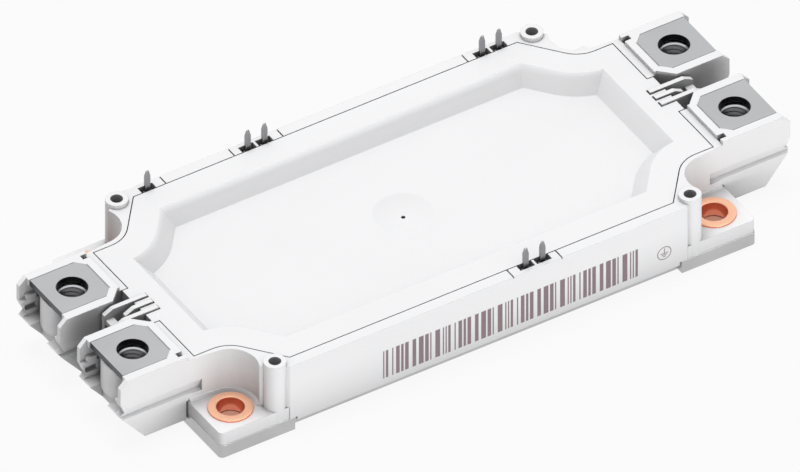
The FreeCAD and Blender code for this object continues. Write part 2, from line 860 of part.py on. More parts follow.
def build_terminals():
    """Bent straps: a screw plate outside, a leg down through the wall and a foot on the inner ledge."""
    bodies = []
    half = S.strap_width / 2
    inner, outer = S.strap_bend, S.strap_bend + S.strap_thickness
    bend_low = strap_foot_top + inner
    bend_high = strap_bottom - inner
    leg_outer, leg_inner = S.strap_start - inner, S.strap_start - outer
    foot_bend = leg_inner - inner
    profile = [
        (S.strap_start, S.box_top, outer, "left"),
        (leg_inner, bend_high),
        (leg_inner, bend_low, inner, "right"),
        (foot_bend, strap_foot_top),
        (S.strap_foot_end, strap_foot_top),
        (S.strap_foot_end, S.ledge_height),
        (foot_bend, S.ledge_height, outer, "left"),
        (leg_outer, bend_low),
        (leg_outer, bend_high, inner, "right"),
        (S.strap_start, strap_bottom),
    ]
    plate = [
        (S.strap_start, S.box_centre + strap_neck),
        (S.strap_start + S.strap_chamfer, S.box_centre + half),
        (S.strap_end, S.box_centre + half),
        (S.strap_end, S.box_centre - half),
        (S.strap_start + S.strap_chamfer, S.box_centre - half),
        (S.strap_start, S.box_centre - strap_neck),
    ]
    for label, end, side in TERMINALS:
        body = new_body(label)
        middle = S.box_centre * side
        block(body, strap_bottom, S.box_top, [mirrored(plate, end, side)])
        side_prism("Pad", body, middle - strap_neck, middle + strap_neck, [mirrored(profile, end)])
        hole = cut(body, strap_bottom, S.box_top, [], [(S.screw_x * end, middle, S.screw_clearance)])
        document.recompute()
        bevel(body, hole, circular_edges(hole, S.screw_clearance / 2, S.box_top), S.screw_chamfer)
        bodies.append(body)
    return bodies


def build_phase_link():
    """Flat bar on the inner ledge that joins the feet of the two phase straps."""
    body = new_body("phase_link")
    reach = S.box_centre - strap_neck
    bar = rectangle(S.strap_foot_end, -reach, S.strap_foot_end + S.phase_link_width, reach)
    block(body, S.ledge_height, strap_foot_top, [bar])
    return body


def build_nuts():
    """Four hexagon nuts in their pockets, as one group."""
    body = new_body("terminal_nuts")
    hexes = [hexagon(S.screw_x * end, S.box_centre * side, S.nut_flats) for end, side in QUADRANTS]
    bores = four_places(S.screw_x, S.box_centre, S.nut_thread_bore)
    nuts = block(body, nut_bottom, nut_top, hexes, bores)
    document.recompute()
    bevel(body, nuts, circular_edges(nuts, S.nut_thread_bore / 2, nut_top), S.nut_chamfer)
    return body


def build_pins():
    """Flat pins with a tapered tip, a shoulder in the slot and a foot on the inner ledge."""
    bodies = []
    low, high = S.pin_row - S.pin_thickness / 2, S.pin_row + S.pin_thickness / 2
    taper_start = S.pin_top - S.pin_taper_height
    edge = S.pin_width / 2
    beyond = S.pin_top + S.pin_taper
    for label, side, place in PINS:
        body = new_body(label)
        middle = S.pin_pitch * place
        profile = [
            (S.pin_foot_inset, S.ledge_height),
            (high, S.ledge_height),
            (high, taper_start),
            (high - S.pin_taper, S.pin_top),
            (low + S.pin_taper, S.pin_top),
            (low, taper_start),
            (low, pin_foot_top),
            (S.pin_foot_inset, pin_foot_top),
        ]
        blade = new_sketch(body, "YZ_Plane", middle - edge)
        draw(blade, [mirrored(profile, side)])
        pad(body, blade, S.pin_width)
        half = S.pin_shoulder_width / 2
        shoulder = mirrored(rectangle(middle - half, low, middle + half, high), 1, side)
        block(body, pin_foot_top, S.pin_shoulder_top, [shoulder])
        corners = []
        for hand in (1, -1):
            corners.append([
                (middle + edge * hand, taper_start),
                (middle + (edge + S.pin_taper) * hand, taper_start),
                (middle + (edge + S.pin_taper) * hand, beyond),
                (middle + (edge - S.pin_taper) * hand, beyond),
                (middle + (edge - S.pin_taper) * hand, S.pin_top),
            ])
        sides = (low, high) if side > 0 else (-high, -low)
        side_prism("Pocket", body, *sides, corners)
        bodies.append(body)
    return bodies


def on_every_tile(source, label):
    """Three copies of what was built on the middle tile, one for each tile."""
    copies = []
    for name, index in TILES:
        copy = document.addObject("Part::Compound", f"{label}_{name}")
        copy.Links = [source]
        copy.Label = f"{label}_{name}"
        copy.setExpression("Placement.Base.x", (tile_pitch * index).text)
        copies.append(copy)
    return copies


def build_substrates():
    """Solder, back copper, ceramic and circuit copper of the three tiles."""
    solid = [rectangle(-half_track, -half_tile, half_track, half_tile)]
    edge_x, edge_y = S.tile_length / 2, S.tile_width / 2
    ceramic = [rectangle(-edge_x, -edge_y, edge_x, edge_y)]
    bands = [
        (outer_band, half_tile),
        (inner_band, inner_band + S.control_track),
        (upper_low, upper_low + S.upper_track),
        (middle_low, middle_high),
        (lower_high - S.lower_track, lower_high),
        (-half_tile, -outer_band),
    ]
    tracks = [rectangle(-half_track, low, half_track, high) for low, high in bands]
    layers = (
        ("substrate_solder", S.plate_thickness, copper_floor, solid),
        ("back_copper", copper_floor, ceramic_floor, solid),
        ("substrate_ceramic", ceramic_floor, circuit_floor, ceramic),
        ("circuit_copper", circuit_floor, chip_floor, tracks),
    )
    copies = []
    for label, bottom, top, loops in layers:
        body = new_body(f"{label}_source")
        block(body, bottom, top, loops)
        copies += on_every_tile(body, label)
    return copies


def chip_loops(places, length, width):
    """Outlines of chips about their middle points."""
    return [rectangle(x - length / 2, y - width / 2, x + length / 2, y + width / 2) for x, y in places]


def build_chips():
    """Transistor and diode chips of each tile, and the temperature sensor on the right tile."""
    copies = []
    kinds = (
        ("igbt_chips", igbt_x, S.igbt_length, S.igbt_width),
        ("diode_chips", diode_x, S.diode_length, S.diode_width),
    )
    for label, offset, length, width in kinds:
        body = new_body(f"{label}_source")
        places = [(offset * hand, row) for row in (upper_row, lower_row) for hand in (-1, 1)]
        block(body, chip_floor, wire_floor, chip_loops(places, length, width))
        copies += on_every_tile(body, label)
    sensor = new_body("temperature_sensor")
    place = (tile_pitch + half_track - S.sensor_length, outer_band - S.track_gap / 2)
    reach = S.track_gap + S.sensor_width
    block(sensor, chip_floor, wire_floor, chip_loops([place], S.sensor_length, reach))
    return copies, sensor


def arch(start, finish):
    """Side outline of a bond wire from one (place, level) to another, with a foot at each end."""
    hand = 1 if plain(finish[0]) > plain(start[0]) else -1
    foot = S.wire_foot / 2 * hand
    high = start[1] if plain(start[1]) > plain(finish[1]) else finish[1]
    middle = (start[0] + finish[0]) / 2
    crest = high + S.wire_rise
    return [
        (start[0] - foot, start[1]),
        (start[0] + foot, start[1]),
        (middle, crest),
        (finish[0] - foot, finish[1]),
        (finish[0] + foot, finish[1]),
        (finish[0] + foot, finish[1] + S.wire_thickness),
        (middle, crest + S.wire_thickness),
        (start[0] - foot, start[1] + S.wire_thickness),
    ]


def wires_along_y(body, x, width, loops):
    """Wires that run across the module, about a place along it."""
    sketch = new_sketch(body, "YZ_Plane", x - width / 2)
    draw(sketch, loops)
    pad(body, sketch, width)


def build_chip_wires():
    """Bond wires of each tile: chips to the next track, and gates to their control tracks."""
    foot = S.wire_foot / 2
    edge = S.igbt_width / 2 - foot - S.wire_inset
    outer_line = outer_band + S.control_track / 2
    power = [
        arch((upper_row, wire_floor), (middle_high - S.wire_foot, chip_floor)),
        arch((lower_row, wire_floor), (lower_high - S.wire_foot, chip_floor)),
    ]
    gates = [
        arch((upper_row + edge, wire_floor), (outer_line, chip_floor)),
        arch((lower_row - edge, wire_floor), (-outer_line, chip_floor)),
    ]
    body = new_body("bond_wires_source")
    for hand in (-1, 1):
        wires_along_y(body, diode_x * hand, S.wire_thickness, power)
        wires_along_y(body, igbt_x * hand, S.wire_thickness, gates)
        for step in (-1, 1):
            wires_along_y(body, igbt_x * hand + S.wire_pitch * step, S.wire_thickness, power)
    tunnel = new_body("wire_tunnel_source")
    row_width = (igbt_x + S.igbt_length / 2) * 2
    wires_along_y(tunnel, ZERO, row_width, power)
    wires_along_y(tunnel, ZERO, row_width, gates)
    for row in (upper_row, lower_row):
        block(tunnel, chip_floor, wire_floor, chip_loops([(ZERO, row)], row_width, S.igbt_width))
    tracks = rectangle(-half_track, -half_tile, half_track, half_tile)
    block(tunnel, circuit_floor, chip_floor, [tracks])
    return on_every_tile(body, "bond_wires"), on_every_tile(tunnel, "wire_tunnel")


def wires_along_x(body, start, finish, lines):
    """Wires that run along the module between two (place, level) points, on lines across it."""
    half = S.wire_thickness / 2
    for line in lines:
        side_prism("Pad", body, line - half, line + half, [arch(start, finish)])


def build_link_wires():
    """Wires that carry the power tracks from tile to tile."""
    body = new_body("substrate_links")
    reach = S.tile_gap / 2 + S.tile_rim + S.wire_foot / 2 + S.wire_inset
    lines = [row + S.wire_spread * hand for row in (upper_row, lower_row) for hand in (-1, 1)]
    lines.append(lower_high - S.wire_pitch / 2)
    for end in ENDS:
        seam = tile_pitch / 2 * end
        wires_along_x(body, (seam - reach, chip_floor), (seam + reach, chip_floor), lines)
    return body


def build_terminal_wires():
    """Wires from the feet of the straps down to the power tracks of the outer tiles."""
    body = new_body("terminal_wires")
    foot = (S.strap_foot_end + S.wire_foot / 2 + S.wire_inset * 3, strap_foot_top)
    track = (tile_pitch + half_track - S.wire_foot / 2 - S.wire_inset, chip_floor)
    groups = (
        (-1, [S.box_centre + S.wire_pitch * index for index in (-1, 0, 1)]),
        (-1, [lower_high - S.wire_foot / 2 - S.wire_step * index for index in (0, 1, 2)]),
        (1, [middle_low + S.wire_foot + S.wire_pitch * index for index in (0, 1, 2)]),
    )
    for end, lines in groups:
        wires_along_x(body, (foot[0] * end, foot[1]), (track[0] * end, track[1]), lines)
    return body


def build_pin_wires():
    """One wire from the foot of each pin to its track."""
    body = new_body("pin_wires")
    outer_line = outer_band + S.control_track / 2
    inner_line = inner_band + S.control_track / 2
    upper_edge = upper_low + S.upper_track - S.wire_foot / 2 - S.wire_inset
    lower_line = S.lower_track / 2 - lower_high
    landings = {
        "high_side_gate_pin": outer_line,
        "high_side_emitter_pin": inner_line,
        "low_side_gate_pin": outer_line,
        "low_side_emitter_pin": lower_line,
        "collector_sense_pin": upper_edge,
        "thermistor_pin_a": outer_line,
        "thermistor_pin_b": inner_line,
    }
    foot = S.pin_foot_inset + S.wire_foot / 2 + S.wire_inset / 2
    for label, side, place in PINS:
        away = 1 if place > 0 else -1
        line = S.pin_pitch * place + S.wire_shift * away
        wire = arch((foot * side, pin_foot_top), (landings[label] * side, chip_floor))
        wires_along_y(body, line, S.wire_thickness, [wire])
    return body


def build_gel(contents):
    """Soft gel that fills the frame up to its level, round everything that stands in it."""
    body = new_body("gel_filling")
    floor = scooped_outline(S.floor_length / 2, S.floor_width / 2, S.cavity_scoop)
    block(body, S.plate_thickness, S.ledge_height, [floor])
    room = scooped_outline(S.cavity_length / 2, S.cavity_width / 2, S.cavity_scoop)
    block(body, S.ledge_height, S.gel_level, [room])
    return cut_away("silicone_gel", body, joined("gel_contents", contents))


base_plate = build_base_plate()
sleeves = build_sleeves()
terminals = build_terminals()
phase_link = build_phase_link()
pins = build_pins()
glue = build_glue()
phase_back = terminals[2]
housing = build_housing(phase_back, pins + [glue, build_rail_cuts()])
lid = build_lid()
nuts = build_nuts()
substrates = build_substrates()
chips, sensor = build_chips()
bond_wires, wire_tunnels = build_chip_wires()
long_wires = [build_link_wires(), build_terminal_wires(), build_pin_wires()]
solid_layers = [layer for layer in substrates if not layer.Label.startswith("circuit")]
gel = build_gel(terminals + pins + solid_layers + wire_tunnels + long_wires + [phase_link, sensor])

document.recompute()

nodes = [base_plate, housing, glue, lid, nuts, gel, phase_link, sensor]
nodes += sleeves + terminals + pins + substrates + chips + bond_wires + long_wires

for item in document.Objects:
    if "Invalid" in item.State or "Error" in item.State:
        raise RuntimeError(f"{item.Label} did not build: {item.State}")

os.makedirs("parts", exist_ok=True)
for node in nodes:
    if node.Shape.isNull() or not node.Shape.isValid() or not node.Shape.Solids:
        raise RuntimeError(f"{node.Label} has no valid solid")
    node.Shape.exportStep(f"parts/{node.Label}.step")
    print(f"{node.Label}: {len(node.Shape.Solids)} solids, {node.Shape.Volume:.2f} cubic millimetres")
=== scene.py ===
"""Looks of a half-bridge power module: white mouldings, plated base plate and straps, copper sleeves."""

import json
import logging
import math
from collections.abc import Callable
from dataclasses import dataclass, field
from enum import Enum

import bpy
from mathutils import Matrix, Vector

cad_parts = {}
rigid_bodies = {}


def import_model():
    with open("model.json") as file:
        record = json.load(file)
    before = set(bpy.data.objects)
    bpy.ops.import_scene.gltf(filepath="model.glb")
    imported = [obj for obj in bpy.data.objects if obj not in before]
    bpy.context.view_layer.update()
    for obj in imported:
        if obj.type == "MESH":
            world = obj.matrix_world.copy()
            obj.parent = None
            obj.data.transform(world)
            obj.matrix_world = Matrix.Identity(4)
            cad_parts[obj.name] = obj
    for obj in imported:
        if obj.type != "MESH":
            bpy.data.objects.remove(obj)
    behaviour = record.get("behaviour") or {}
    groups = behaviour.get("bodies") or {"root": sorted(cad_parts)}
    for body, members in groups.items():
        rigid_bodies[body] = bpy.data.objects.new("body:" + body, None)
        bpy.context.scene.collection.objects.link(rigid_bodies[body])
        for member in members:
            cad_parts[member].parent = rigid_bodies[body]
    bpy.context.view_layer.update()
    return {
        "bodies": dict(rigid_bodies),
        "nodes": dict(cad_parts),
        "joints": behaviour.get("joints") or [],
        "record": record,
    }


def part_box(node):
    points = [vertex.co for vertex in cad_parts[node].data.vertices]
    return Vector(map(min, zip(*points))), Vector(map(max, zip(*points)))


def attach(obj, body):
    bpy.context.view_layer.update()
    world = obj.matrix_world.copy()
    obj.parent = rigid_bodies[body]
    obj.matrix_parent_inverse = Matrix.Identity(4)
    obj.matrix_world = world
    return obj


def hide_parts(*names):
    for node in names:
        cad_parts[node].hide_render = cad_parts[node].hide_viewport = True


log = logging.getLogger("power_module")

Socket = bpy.types.NodeSocket
Colour = tuple[float, float, float]

MM = 0.001
QUARTER_TURN = math.radians(90.0)
BLACK = (0.0, 0.0, 0.0)
WHITE = (1.0, 1.0, 1.0)

# The mounting holes: distance from the middle along X and Y, bore, and bare rim round it, in millimetres
MOUNT_ALONG = 55.0
MOUNT_ACROSS = 25.0
MOUNT_BORE = 5.5
MOUNT_RIM = 0.07


class Side(Enum):
    """The two long sides of the module, by the words in its nodes' names."""

    FRONT = "front"
    BACK = "back"


class End(Enum):
    """The two short ends of the module, by the words in its nodes' names."""

    LEFT = "left"
    RIGHT = "right"


def mm(*values: float) -> Vector:
    """Returns a point given in millimetres as a point in metres."""
    return Vector(values) * MM


def tinted(tone: Colour, factor: float) -> Colour:
    """Returns a colour made darker or lighter by a factor."""
    return tuple(min(1.0, part * factor) for part in tone)


def seen_directly(tree: bpy.types.NodeTree) -> Socket:
    """Adds a factor that tells the rays that show a surface from those that light others.

    Args:
        tree: the node tree of a material or a world.

    Returns:
        1 for rays from the camera, off a shiny face or through a clear one, and 0 for all others.
    """
    path = tree.nodes.new("ShaderNodeLightPath")
    seen = path.outputs["Is Camera Ray"]
    for kind in ("Is Glossy Ray", "Is Transmission Ray"):
        either = tree.nodes.new("ShaderNodeMath")
        either.operation = "MAXIMUM"
        tree.links.new(seen, either.inputs[0])
        tree.links.new(path.outputs[kind], either.inputs[1])
        seen = either.outputs[0]
    return seen


class MaterialTree:
    """One material's node tree, with a method for each kind of node that the finishes use.

    Nodes that look around send as many rays as said here, and a level's blend is blurred by so many
    millimetres to each side.
    """

    rays = 4
    level_blur = 0.05

    def __init__(self, name: str) -> None:
        """Starts a material with a principled shader and object coordinates.

        Args:
            name: the material's name.
        """
        self.material = bpy.data.materials.new(name)
        self.material.use_nodes = True
        self.nodes = self.material.node_tree.nodes
        self.links = self.material.node_tree.links
        self.shader = self.nodes["Principled BSDF"]
        self.place = self.nodes.new("ShaderNodeTexCoord").outputs["Object"]

    def set(self, **values: object) -> None:
        """Sets plain numbers and colours on the shader, with underscores for spaces in their names."""
        for name, value in values.items():
            self.shader.inputs[name.replace("_", " ")].default_value = value

    def join(self, source: Socket, name: str) -> None:
        """Links a socket to the shader's input of that name."""
        self.links.new(source, self.shader.inputs[name])

    def stretched(self, scale: tuple[float, float, float]) -> Socket:
        """Adds object coordinates that are stretched.

        Args:
            scale: the factor along each axis.

        Returns:
            The stretched coordinates.
        """
        mapping = self.nodes.new("ShaderNodeMapping")
        mapping.inputs["Scale"].default_value = scale
        self.links.new(self.place, mapping.inputs["Vector"])
        return mapping.outputs["Vector"]

    def noise(self, size: float, detail: float = 3.0, place: Socket | None = None) -> Socket:
        """Adds a noise texture.

        Args:
            size: size of one grain in millimetres.
            detail: how many finer layers the noise has.
            place: coordinates to read, object coordinates if None.

        Returns:
            The noise's factor socket.
        """
        noise = self.nodes.new("ShaderNodeTexNoise")
        noise.inputs["Scale"].default_value = 1.0 / (size * MM)
        noise.inputs["Detail"].default_value = detail
        self.links.new(place or self.place, noise.inputs["Vector"])
        return noise.outputs["Fac"]

    def ramp(self, source: Socket, start: tuple[float, Colour], end: tuple[float, Colour]) -> Socket:
        """Adds a colour ramp with two stops.

        Args:
            source: the factor to read.
            start: place and colour of the first stop.
            end: place and colour of the second stop.

        Returns:
            The ramp's colour socket.
        """
        ramp = self.nodes.new("ShaderNodeValToRGB")
        elements = ramp.color_ramp.elements
        for index, (position, colour) in enumerate((start, end)):
            elements[index].position = position
            elements[index].color = (*colour, 1.0)
        self.links.new(source, ramp.inputs["Fac"])
        return ramp.outputs["Color"]

    def graded(
        self, source: Socket, tone: Colour, tint: float, span: tuple[float, float] = (0.3, 0.7),
    ) -> Socket:
        """Adds a tone that goes along a factor from a tint of itself to itself.

        Args:
            source: the factor to read.
            tone: the tone at the span's end.
            tint: the share of the tone at the span's start.
            span: where along the factor the change starts and ends.

        Returns:
            The colour socket.
        """
        start, end = span
        return self.ramp(source, (start, tinted(tone, tint)), (end, tone))

    def mask(self, source: Socket, span: tuple[float, float]) -> Socket:
        """Returns 0 where a factor is below a span, 1 where it is above it and a blend inside it."""
        return self.ramp(source, (span[0], BLACK), (span[1], WHITE))

    def spread(self, source: Socket, low: float, high: float) -> Socket:
        """Brings a factor of 0 to 1 to another range.

        Args:
            source: the factor to read.
            low: the range's lower end.
            high: the range's upper end.

        Returns:
            The factor in its new range.
        """
        node = self.nodes.new("ShaderNodeMapRange")
        node.inputs["To Min"].default_value = low
        node.inputs["To Max"].default_value = high
        self.links.new(source, node.inputs["Value"])
        return node.outputs["Result"]

    def roughness(self, source: Socket, gloss: float, swing: tuple[float, float]) -> Socket:
        """Returns a roughness that swings below and above a value along a factor."""
        return self.spread(source, gloss - swing[0], gloss + swing[1])

    def calculated(self, operation: str, first: Socket, second: Socket | float | None = None) -> Socket:
        """Adds a calculation on numbers.

        Args:
            operation: Blender's word for the calculation.
            first: the number to start from.
            second: the other number, a socket or a constant, where the calculation has one.

        Returns:
            The result.
        """
        node = self.nodes.new("ShaderNodeMath")
        node.operation = operation
        self.links.new(first, node.inputs[0])
        if isinstance(second, float):
            node.inputs[1].default_value = second
        elif second is not None:
            self.links.new(second, node.inputs[1])
        return node.outputs[0]

    def calculated_place(
        self, operation: str, source: Socket, values: tuple[float, float, float] | None = None,
    ) -> Socket:
        """Adds a calculation on coordinates.

        Args:
            operation: Blender's word for the calculation.
            source: the coordinates to read.
            values: the other coordinates, where the calculation has some.

        Returns:
            The new coordinates.
        """
        node = self.nodes.new("ShaderNodeVectorMath")
        node.operation = operation
        self.links.new(source, node.inputs[0])
        if values is not None:
            node.inputs[1].default_value = values
        return node.outputs["Vector"]

    def soft_edges(self, radius: float) -> Socket:
        """Adds normals that round every edge.

        Args:
            radius: radius of the rounding in millimetres.

        Returns:
            The rounded normals.
        """
        bevel = self.nodes.new("ShaderNodeBevel")
        bevel.samples = self.rays
        bevel.inputs["Radius"].default_value = radius * MM
        return bevel.outputs["Normal"]

    def bump(self, height: Socket, depth: float, normal: Socket | None = None) -> Socket:
        """Adds a bump.

        Args:
            height: the height from 0 to 1.
            depth: how deep the bump is in millimetres.
            normal: normals to start from.

        Returns:
            The bumped normals.
        """
        bump = self.nodes.new("ShaderNodeBump")
        bump.inputs["Distance"].default_value = depth * MM
        bump.inputs["Strength"].default_value = 1.0
        self.links.new(height, bump.inputs["Height"])
        if normal is not None:
            self.links.new(normal, bump.inputs["Normal"])
        return bump.outputs["Normal"]

    def openness(self, reach: float) -> Socket:
        """Adds a factor that says how open the surface is.

        Args:
            reach: how far away a wall still counts, in millimetres.

        Returns:
            0 deep in a gap and 1 in the open.
        """
        openness = self.nodes.new("ShaderNodeAmbientOcclusion")
        openness.samples = self.rays
        openness.inputs["Distance"].default_value = reach * MM
        return openness.outputs["AO"]

    def upright(self) -> Socket:
        """Adds a factor that tells level faces from sides.

        Returns:
            1 on faces that look up or down and 0 on faces that look sideways.
        """
        geometry = self.nodes.new("ShaderNodeNewGeometry")
        parts = self.nodes.new("ShaderNodeSeparateXYZ")
        self.links.new(geometry.outputs["True Normal"], parts.inputs[0])
        return self.calculated("ABSOLUTE", parts.outputs["Z"])

    def above(self, level: float) -> Socket:
        """Adds a factor that tells what is above a level.

        Args:
            level: the level in millimetres.

        Returns:
            1 above the level and 0 below it, with a short blend.
        """
        parts = self.nodes.new("ShaderNodeSeparateXYZ")
        self.links.new(self.place, parts.inputs[0])
        share = self.nodes.new("ShaderNodeMapRange")
        share.inputs["From Min"].default_value = (level - self.level_blur) * MM
        share.inputs["From Max"].default_value = (level + self.level_blur) * MM
        self.links.new(parts.outputs["Z"], share.inputs["Value"])
        return share.outputs["Result"]

    def near_bores(self, along: float, across: float, radius: float) -> Socket:
        """Adds a mask for four upright bores that mirror each other.

        Args:
            along: the bores' distance from the middle along X, in millimetres.
            across: their distance from the middle along Y, in millimetres.
            radius: how far the mask reaches round each bore's axis, in millimetres.

        Returns:
            1 within the radius and 0 outside it.
        """
        quarter = self.calculated_place("ABSOLUTE", self.place)
        from_axis = self.calculated_place("SUBTRACT", quarter, mm(along, across, 0.0))
        flattened = self.calculated_place("MULTIPLY", from_axis, (1.0 / MM, 1.0 / MM, 0.0))
        length = self.nodes.new("ShaderNodeVectorMath")
        length.operation = "LENGTH"
        self.links.new(flattened, length.inputs[0])
        return self.calculated("LESS_THAN", length.outputs["Value"], radius)

    def mixed(self, factor: Socket, low: Socket, high: Socket) -> Socket:
        """Adds a mix of two colours.

        Args:
            factor: the share of the second colour.
            low: the colour where the factor is 0.
            high: the colour where the factor is 1.

        Returns:
            The mixed colour.
        """
        mix = self.nodes.new("ShaderNodeMix")
        mix.data_type = "RGBA"
        self.links.new(factor, mix.inputs["Factor"])
        self.links.new(low, mix.inputs["A"])
        self.links.new(high, mix.inputs["B"])
        return mix.outputs["Result"]

    def shaded(self, colour: Socket, shade: Socket) -> Socket:
        """Adds a colour darkened by a shade.

        Args:
            colour: the colour.
            shade: what it is multiplied by.

        Returns:
            The darkened colour.
        """
        mix = self.nodes.new("ShaderNodeMix")
        mix.data_type, mix.blend_type = "RGBA", "MULTIPLY"
        mix.inputs["Factor"].default_value = 1.0
        self.links.new(colour, mix.inputs["A"])
        self.links.new(shade, mix.inputs["B"])
        return mix.outputs["Result"]

    def blended(self, factor: Socket, low: Socket, high: Socket) -> Socket:
        """Adds a blend of two shaders.

        Args:
            factor: the share of the second shader.
            low: the shader where the factor is 0.
            high: the shader where the factor is 1.

        Returns:
            The blended shader.
        """
        blend = self.nodes.new("ShaderNodeMixShader")
        self.links.new(factor, blend.inputs["Fac"])
        self.links.new(low, blend.inputs[1])
        self.links.new(high, blend.inputs[2])
        return blend.outputs[0]


@dataclass(frozen=True)
class MouldedPlastic:
    """Injection-moulded plastic with a faint texture and soft edges, with painted shade darkening its gaps
    and hollows.
    """

    name: str
    tone: Colour
    refraction: float = 1.52
    shine: float = 0.28
    gloss: float = 0.46
    gloss_swing: tuple[float, float] = (0.05, 0.06)
    gloss_size: float = 4.0
    flow_size: float = 26.0
    flow_stretch: tuple[float, float, float] = (0.4, 1.0, 1.0)
    flow_tint: float = 0.975
    texture_size: float = 0.35
    texture_depth: float = 0.006
    edge_radius: float = 0.16
    # Painted shade in gaps: where an occlusion mask finds the surface hemmed in, the plastic takes a much
    # darker tone.
    gap_shade: float = 0.36
    gap_shade_tint: float = 0.94
    gap_shade_reach: float = 1.4
    gap_shade_span: tuple[float, float] = (0.12, 0.6)
    # Painted shade in hollows: surfaces near other faces within the reach are darkened, down to this
    # factor.
    shade: float = 0.46
    shade_reach: float = 12.0
    shade_span: tuple[float, float] = (0.3, 0.9)

    def material(self) -> bpy.types.Material:
        """Makes the node material.

        Returns:
            The material.
        """
        tree = MaterialTree(self.name)
        tree.set(IOR=self.refraction, Specular_IOR_Level=self.shine)
        flow = tree.noise(self.flow_size, detail=2.0, place=tree.stretched(self.flow_stretch))
        unshaded = tree.graded(flow, self.tone, self.flow_tint)
        # painted shade: the darker tone for narrow gaps and creases, blended in by the occlusion mask below
        gap_shaded = tree.graded(flow, tinted(self.tone, self.gap_shade), self.gap_shade_tint)
        open_share = tree.mask(tree.openness(self.gap_shade_reach), self.gap_shade_span)
        # painted shade: the hollows' darkening multiplies the colour below
        shade = tree.graded(tree.openness(self.shade_reach), WHITE, self.shade, self.shade_span)
        tree.join(tree.shaded(tree.mixed(open_share, gap_shaded, unshaded), shade), "Base Color")
        tree.join(tree.roughness(tree.noise(self.gloss_size), self.gloss, self.gloss_swing), "Roughness")
        grain = tree.noise(self.texture_size, detail=2.0)
        tree.join(tree.bump(grain, self.texture_depth, tree.soft_edges(self.edge_radius)), "Normal")
        return tree.material


@dataclass(frozen=True)
class PlatedMetal:
    """Plated or bare metal with fine rolling lines and painted shade on its sides: faces that look sideways
    take a darker tone.
    """

    name: str
    tone: Colour
    metallic: float = 1.0
    gloss: float = 0.3
    gloss_swing: tuple[float, float] = (0.07, 0.09)
    cloud_size: float = 9.0
    tint: float = 0.93
    line_size: float = 0.12
    line_depth: float = 0.002
    stretch: tuple[float, float, float] = (0.04, 1.0, 1.0)
    edge_radius: float = 0.1
    flat_span: tuple[float, float] = (0.2, 0.5)
    # Painted shade: faces that look sideways take this darker tone instead of the level faces' tone.
    shaded_side_tone: Colour | None = None
    side_tint: float = 0.9
    side_gloss: float = 0.3
    # Painted light and shade: level faces below this height, in millimetres, take the darker side tone too,
    # so only faces above it look lit; 0 turns it off.
    lit_faces_above: float = 0.0
    bores: tuple[float, float, float] | None = None
    bore_tone: Colour = (0.58, 0.28, 0.2)

    def material(self) -> bpy.types.Material:
        """Makes the node material.

        Returns:
            The material.
        """
        tree = MaterialTree(self.name)
        tree.set(Metallic=self.metallic)
        cloud = tree.noise(self.cloud_size)
        faces = tree.graded(cloud, self.tone, self.tint)
        # painted shade: sideways faces get the darker side tone, level faces keep the thing's tone
        sides = tree.graded(cloud, self.shaded_side_tone or self.tone, self.side_tint)
        flat_share = tree.mask(tree.upright(), self.flat_span)
        # painted shade: level faces below the height join the shaded sides
        if self.lit_faces_above:
            flat_share = tree.calculated("MULTIPLY", flat_share, tree.above(self.lit_faces_above))
        colour = tree.mixed(flat_share, sides, faces)
        if self.bores:
            bare = tree.graded(cloud, self.bore_tone, self.side_tint)
            colour = tree.mixed(tree.near_bores(*self.bores), colour, bare)
        tree.join(colour, "Base Color")
        lines = tree.noise(self.line_size, detail=2.0, place=tree.stretched(self.stretch))
        rough_faces = tree.roughness(lines, self.gloss, self.gloss_swing)
        rough_sides = tree.roughness(lines, self.side_gloss, self.gloss_swing)
        tree.join(tree.mixed(flat_share, rough_sides, rough_faces), "Roughness")
        tree.join(tree.bump(lines, self.line_depth, tree.soft_edges(self.edge_radius)), "Normal")
        return tree.material


@dataclass(frozen=True)
class Mineral:
    """Ceramic, silicon, solder or adhesive: fine grained, with a little colour variation."""

    name: str
    tone: Colour
    tint: float = 0.88
    metallic: float = 0.0
    gloss: float = 0.5
    gloss_swing: tuple[float, float] = (0.06, 0.06)
    gloss_size: float = 3.0
    grain_size: float = 0.2
    grain_depth: float = 0.004
    grain_span: tuple[float, float] = (0.25, 0.75)

    def material(self) -> bpy.types.Material:
        """Makes the node material.

        Returns:
            The material.
        """
        tree = MaterialTree(self.name)
        tree.set(Metallic=self.metallic)
        grain = tree.noise(self.grain_size, detail=4.0)
        tree.join(tree.graded(grain, self.tone, self.tint, self.grain_span), "Base Color")
        tree.join(tree.roughness(tree.noise(self.gloss_size), self.gloss, self.gloss_swing), "Roughness")
        tree.join(tree.bump(grain, self.grain_depth), "Normal")
        return tree.material


@dataclass(frozen=True)
class ClearGel:
    """Soft clear gel with a slow unevenness of its surface."""

    name: str
    tone: Colour
    tint: float = 0.97
    refraction: float = 1.41
    clearness: float = 0.85
    gloss: float = 0.08
    wave_size: float = 12.0
    wave_depth: float = 0.05

    def material(self) -> bpy.types.Material:
        """Makes the node material.

        Returns:
            The material.
        """
        tree = MaterialTree(self.name)
        tree.set(IOR=self.refraction, Transmission_Weight=self.clearness, Roughness=self.gloss)
        slow = tree.noise(self.wave_size, detail=1.0)
        tree.join(tree.graded(slow, self.tone, self.tint), "Base Color")
        tree.join(tree.bump(slow, self.wave_depth), "Normal")
        return tree.material


@dataclass(frozen=True)
class PrintedInk:
    """Laser-marked or printed ink, slightly broken up by the plastic's texture."""

    name: str
    tone: Colour
    paler: float = 1.35
    gloss: float = 0.55
    speck_size: float = 0.25
    speck_span: tuple[float, float] = (0.35, 0.75)

    def material(self) -> bpy.types.Material:
        """Makes the node material.

        Returns:
            The material.
        """
        tree = MaterialTree(self.name)
        tree.set(Roughness=self.gloss)
        specks = tree.noise(self.speck_size, detail=4.0)
        start, end = self.speck_span
        tree.join(tree.ramp(specks, (start, self.tone), (end, tinted(self.tone, self.paler))), "Base Color")
        return tree.material
